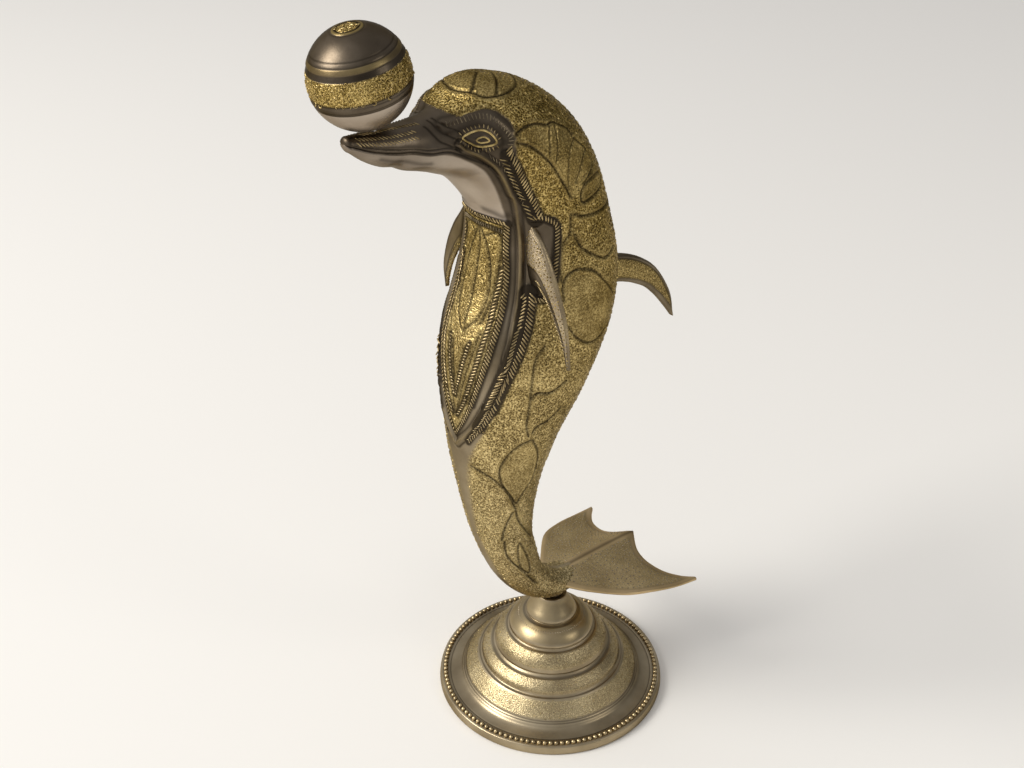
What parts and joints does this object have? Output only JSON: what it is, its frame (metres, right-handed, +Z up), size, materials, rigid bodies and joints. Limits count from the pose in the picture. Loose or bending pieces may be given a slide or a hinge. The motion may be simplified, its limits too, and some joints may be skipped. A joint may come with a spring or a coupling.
{
  "type": "dolphin figurine",
  "caption": "Engraved brass dolphin standing on its tail with a ball on its beak, on a stepped round foot with a beaded rim.",
  "frame": {"origin": "on the surface the foot stands on, under the middle of the whole object's box", "axes": "+Z up, the dolphin faces -Y, its own left side is +X"},
  "size_m": [0.15, 0.2464, 0.4678],
  "materials": {
    "engraved_brass": "engraved, brown patina with bright cuts",
    "dark_brass": "satin, dark patina",
    "plated_steel": "plated"
  },
  "bodies": {
    "root": {"foot": "dark_brass", "washer": "plated_steel", "nut": "plated_steel", "foot_stud": "plated_steel", "body": "engraved_brass", "dorsal_fin": "engraved_brass", "flipper_left": "engraved_brass", "flipper_right": "engraved_brass", "ball": "engraved_brass", "ball_pin": "plated_steel"}
  },
  "joints": []
}
